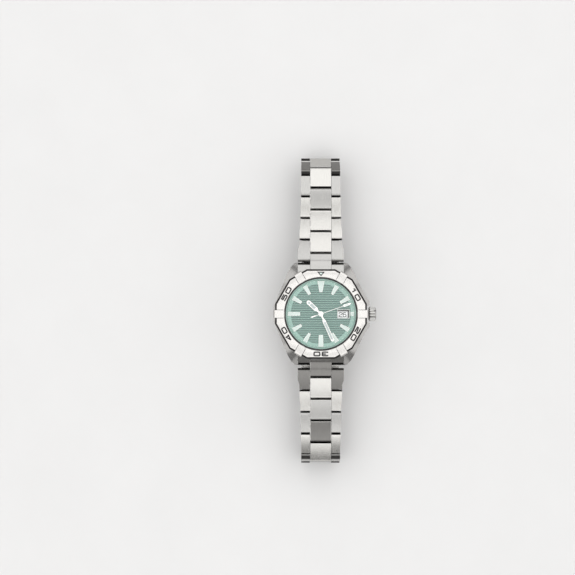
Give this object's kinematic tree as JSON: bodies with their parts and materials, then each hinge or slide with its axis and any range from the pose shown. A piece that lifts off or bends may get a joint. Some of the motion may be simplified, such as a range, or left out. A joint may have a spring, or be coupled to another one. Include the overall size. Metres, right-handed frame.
{
  "type": "wristwatch with link bracelet",
  "caption": "Steel dive-style wristwatch with twelve-sided turning bezel, green dial and closed three-piece link bracelet with folding clasp.",
  "frame": {"origin": "centre of the case back's outer face, on the dial's axis", "axes": "+Z out of the dial, +Y towards 12 o'clock and along the bracelet, +X towards 3 o'clock and the crown"},
  "size_m": [0.0457, 0.1371, 0.0322],
  "materials": {
    "steel_brushed": "satin brushed",
    "steel_polished": "polished",
    "pin_steel": "turned",
    "sapphire": "clear, polished",
    "dial_green": "satin lacquer over fine lines",
    "marker_white": "matte luminous paint",
    "date_white": "matte print ground",
    "gasket_black": "matte",
    "movement_plate": "satin",
    "movement_steel": "satin",
    "holder_plastic": "matte"
  },
  "bodies": {
    "head": {"mid_case": "steel_brushed", "bezel_click_spring": "movement_plate", "crystal": "sapphire", "date_magnifier": "sapphire", "crystal_gasket": "gasket_black", "rehaut": "dial_green", "dial": "dial_green", "hour_markers": "marker_white", "mainplate": "movement_plate", "movement_holder": "holder_plastic", "winding_barrel": "movement_plate", "train_bridge": "movement_steel", "balance_bridge": "movement_steel", "crown_tube": "pin_steel", "case_back": "steel_brushed", "case_back_gasket": "gasket_black", "end_link_12": "steel_brushed", "end_link_6": "steel_brushed", "case_spring_bars": "pin_steel"},
    "bezel": {"bezel": "steel_polished"},
    "hour_hand": {"hour_hand": "steel_polished"},
    "minute_hand": {"minute_hand": "steel_polished"},
    "seconds_hand": {"seconds_hand": "steel_polished"},
    "date_disc": {"date_disc": "date_white"},
    "rotor": {"rotor": "movement_steel"},
    "balance_wheel": {"balance_wheel": "movement_plate"},
    "stem": {"winding_stem": "pin_steel"},
    "crown": {"crown": "steel_polished"},
    "row_12_1": {"link_row_12_1": "steel_brushed"},
    "row_12_2": {"link_row_12_2": "steel_brushed"},
    "row_12_3": {"link_row_12_3": "steel_brushed"},
    "row_12_4": {"link_row_12_4": "steel_brushed"},
    "row_12_5": {"link_row_12_5": "steel_brushed"},
    "row_12_6": {"link_row_12_6": "steel_brushed"},
    "row_12_7": {"link_row_12_7": "steel_brushed"},
    "row_12_8": {"link_row_12_8": "steel_brushed"},
    "row_12_9": {"link_row_12_9": "steel_brushed"},
    "row_12_10": {"link_row_12_10": "steel_brushed"},
    "row_6_1": {"link_row_6_1": "steel_brushed"},
    "row_6_2": {"link_row_6_2": "steel_brushed"},
    "row_6_3": {"link_row_6_3": "steel_brushed"},
    "row_6_4": {"link_row_6_4": "steel_brushed"},
    "row_6_5": {"link_row_6_5": "steel_brushed"},
    "row_6_6": {"link_row_6_6": "steel_brushed"},
    "row_6_7": {"link_row_6_7": "steel_brushed"},
    "row_6_8": {"link_row_6_8": "steel_brushed"},
    "row_6_9": {"link_row_6_9": "steel_brushed"},
    "row_6_10": {"link_row_6_10": "steel_brushed"},
    "lower_blade": {"clasp_lower_blade": "steel_polished", "clasp_link_bar": "pin_steel"},
    "middle_blade": {"clasp_middle_blade": "steel_polished", "clasp_hinge_pins": "pin_steel"},
    "cover": {"clasp_cover": "steel_brushed", "clasp_adjuster_bar": "pin_steel"},
    "button_left": {"clasp_button_left": "steel_polished"},
    "button_right": {"clasp_button_right": "steel_polished"}
  },
  "joints": [
    {"name": "bezel_turn", "type": "hinge", "parent": "head", "child": "bezel", "pos_m": [0, 0, 0.009], "axis": [0, 0, 1], "continuous": true},
    {"name": "minute_turn", "type": "hinge", "parent": "head", "child": "minute_hand", "pos_m": [0, 0, 0.0075], "axis": [0, 0, -1], "continuous": true},
    {"name": "hour_turn", "type": "hinge", "parent": "head", "child": "hour_hand", "pos_m": [0, 0, 0.0071], "axis": [0, 0, -1], "continuous": true},
    {"name": "seconds_turn", "type": "hinge", "parent": "head", "child": "seconds_hand", "pos_m": [0, 0, 0.0078], "axis": [0, 0, -1], "continuous": true},
    {"name": "date_turn", "type": "hinge", "parent": "head", "child": "date_disc", "pos_m": [0, 0, 0.00578], "axis": [0, 0, -1], "continuous": true},
    {"name": "rotor_turn", "type": "hinge", "parent": "head", "child": "rotor", "pos_m": [0, 0, 0.0016], "axis": [0, 0, 1], "continuous": true},
    {"name": "balance_swing", "type": "hinge", "parent": "head", "child": "balance_wheel", "pos_m": [0.00513, -0.00462, 0.0041], "axis": [0, 0, 1], "range_deg": [-150, 150]},
    {"name": "stem_pull", "type": "slide", "parent": "head", "child": "stem", "axis": [1, 0, 0], "range_m": [0, 0.0018]},
    {"name": "crown_turn", "type": "hinge", "parent": "stem", "child": "crown", "pos_m": [0.0228, 0, 0.0042], "axis": [1, 0, 0], "continuous": true},
    {"name": "link_12_1", "type": "hinge", "parent": "head", "child": "row_12_1", "pos_m": [0, 0.0252, 0.0017], "axis": [1, 0, 0], "range_deg": [0, 5]},
    {"name": "link_12_2", "type": "hinge", "parent": "row_12_1", "child": "row_12_2", "pos_m": [0, 0.0348, 0.00153], "axis": [1, 0, 0], "range_deg": [0, 5]},
    {"name": "link_12_3", "type": "hinge", "parent": "row_12_2", "child": "row_12_3", "pos_m": [0, 0.04439, 0.0012], "axis": [1, 0, 0], "range_deg": [0, 6]},
    {"name": "link_12_4", "type": "hinge", "parent": "row_12_3", "child": "row_12_4", "pos_m": [0, 0.05397, 0.00053], "axis": [1, 0, 0], "range_deg": [0, 16]},
    {"name": "link_12_5", "type": "hinge", "parent": "row_12_4", "child": "row_12_5", "pos_m": [0, 0.0632, -0.00212], "axis": [1, 0, 0], "range_deg": [0, 50]},
    {"name": "link_12_6", "type": "hinge", "parent": "row_12_5", "child": "row_12_6", "pos_m": [0, 0.0677, -0.01059], "axis": [1, 0, 0], "range_deg": [0, 68]},
    {"name": "link_12_7", "type": "hinge", "parent": "row_12_6", "child": "row_12_7", "pos_m": [0, 0.06206, -0.01836], "axis": [1, 0, 0], "range_deg": [0, 58]},
    {"name": "link_12_8", "type": "hinge", "parent": "row_12_7", "child": "row_12_8", "pos_m": [0, 0.05246, -0.01836], "axis": [1, 0, 0], "range_deg": [0, 4]},
    {"name": "link_12_9", "type": "hinge", "parent": "row_12_8", "child": "row_12_9", "pos_m": [0, 0.04286, -0.01836], "axis": [1, 0, 0], "range_deg": [0, 4]},
    {"name": "link_12_10", "type": "hinge", "parent": "row_12_9", "child": "row_12_10", "pos_m": [0, 0.03326, -0.01836], "axis": [1, 0, 0], "range_deg": [0, 4]},
    {"name": "link_6_1", "type": "hinge", "parent": "head", "child": "row_6_1", "pos_m": [0, -0.0262, 0.0017], "axis": [-1, 0, 0], "range_deg": [0, 6]},
    {"name": "link_6_2", "type": "hinge", "parent": "row_6_1", "child": "row_6_2", "pos_m": [0, -0.03579, 0.00136], "axis": [-1, 0, 0], "range_deg": [0, 5]},
    {"name": "link_6_3", "type": "hinge", "parent": "row_6_2", "child": "row_6_3", "pos_m": [0, -0.04538, 0.00086], "axis": [-1, 0, 0], "range_deg": [0, 6]},
    {"name": "link_6_4", "type": "hinge", "parent": "row_6_3", "child": "row_6_4", "pos_m": [0, -0.05494, 0.00003], "axis": [-1, 0, 0], "range_deg": [0, 21]},
    {"name": "link_6_5", "type": "hinge", "parent": "row_6_4", "child": "row_6_5", "pos_m": [0, -0.06385, -0.00357], "axis": [-1, 0, 0], "range_deg": [0, 64]},
    {"name": "link_6_6", "type": "hinge", "parent": "row_6_5", "child": "row_6_6", "pos_m": [0, -0.06518, -0.01308], "axis": [-1, 0, 0], "range_deg": [0, 68.6]},
    {"name": "link_6_7", "type": "hinge", "parent": "row_6_6", "child": "row_6_7", "pos_m": [0, -0.05717, -0.01836], "axis": [-1, 0, 0], "range_deg": [0, 37.4]},
    {"name": "link_6_8", "type": "hinge", "parent": "row_6_7", "child": "row_6_8", "pos_m": [0, -0.04757, -0.01836], "axis": [-1, 0, 0], "range_deg": [0, 4]},
    {"name": "link_6_9", "type": "hinge", "parent": "row_6_8", "child": "row_6_9", "pos_m": [0, -0.03797, -0.01836], "axis": [-1, 0, 0], "range_deg": [0, 4]},
    {"name": "link_6_10", "type": "hinge", "parent": "row_6_9", "child": "row_6_10", "pos_m": [0, -0.02837, -0.01836], "axis": [-1, 0, 0], "range_deg": [0, 4]},
    {"name": "clasp_link", "type": "hinge", "parent": "row_6_10", "child": "lower_blade", "pos_m": [0, -0.01877, -0.01836], "axis": [-1, 0, 0], "range_deg": [0, 4]},
    {"name": "clasp_fold", "type": "hinge", "parent": "lower_blade", "child": "middle_blade", "pos_m": [0, 0.01996, -0.01716], "axis": [1, 0, 0], "range_deg": [0, 120]},
    {"name": "clasp_cover_swing", "type": "hinge", "parent": "middle_blade", "child": "cover", "pos_m": [0, -0.01417, -0.01821], "axis": [1, 0, 0], "range_deg": [-120, 0]},
    {"name": "button_left_press", "type": "slide", "parent": "cover", "child": "button_left", "axis": [1, 0, 0], "range_m": [0, 0.0007], "stiffness_N_per_m": 100},
    {"name": "button_right_press", "type": "slide", "parent": "cover", "child": "button_right", "axis": [-1, 0, 0], "range_m": [0, 0.0007], "stiffness_N_per_m": 100}
  ],
  "couplings": [
    {"joint": "hour_turn", "follows": "minute_turn", "ratio": 0.083333},
    {"joint": "seconds_turn", "follows": "minute_turn", "ratio": 60},
    {"joint": "clasp_cover_swing", "follows": "clasp_fold", "ratio": -1}
  ]
}
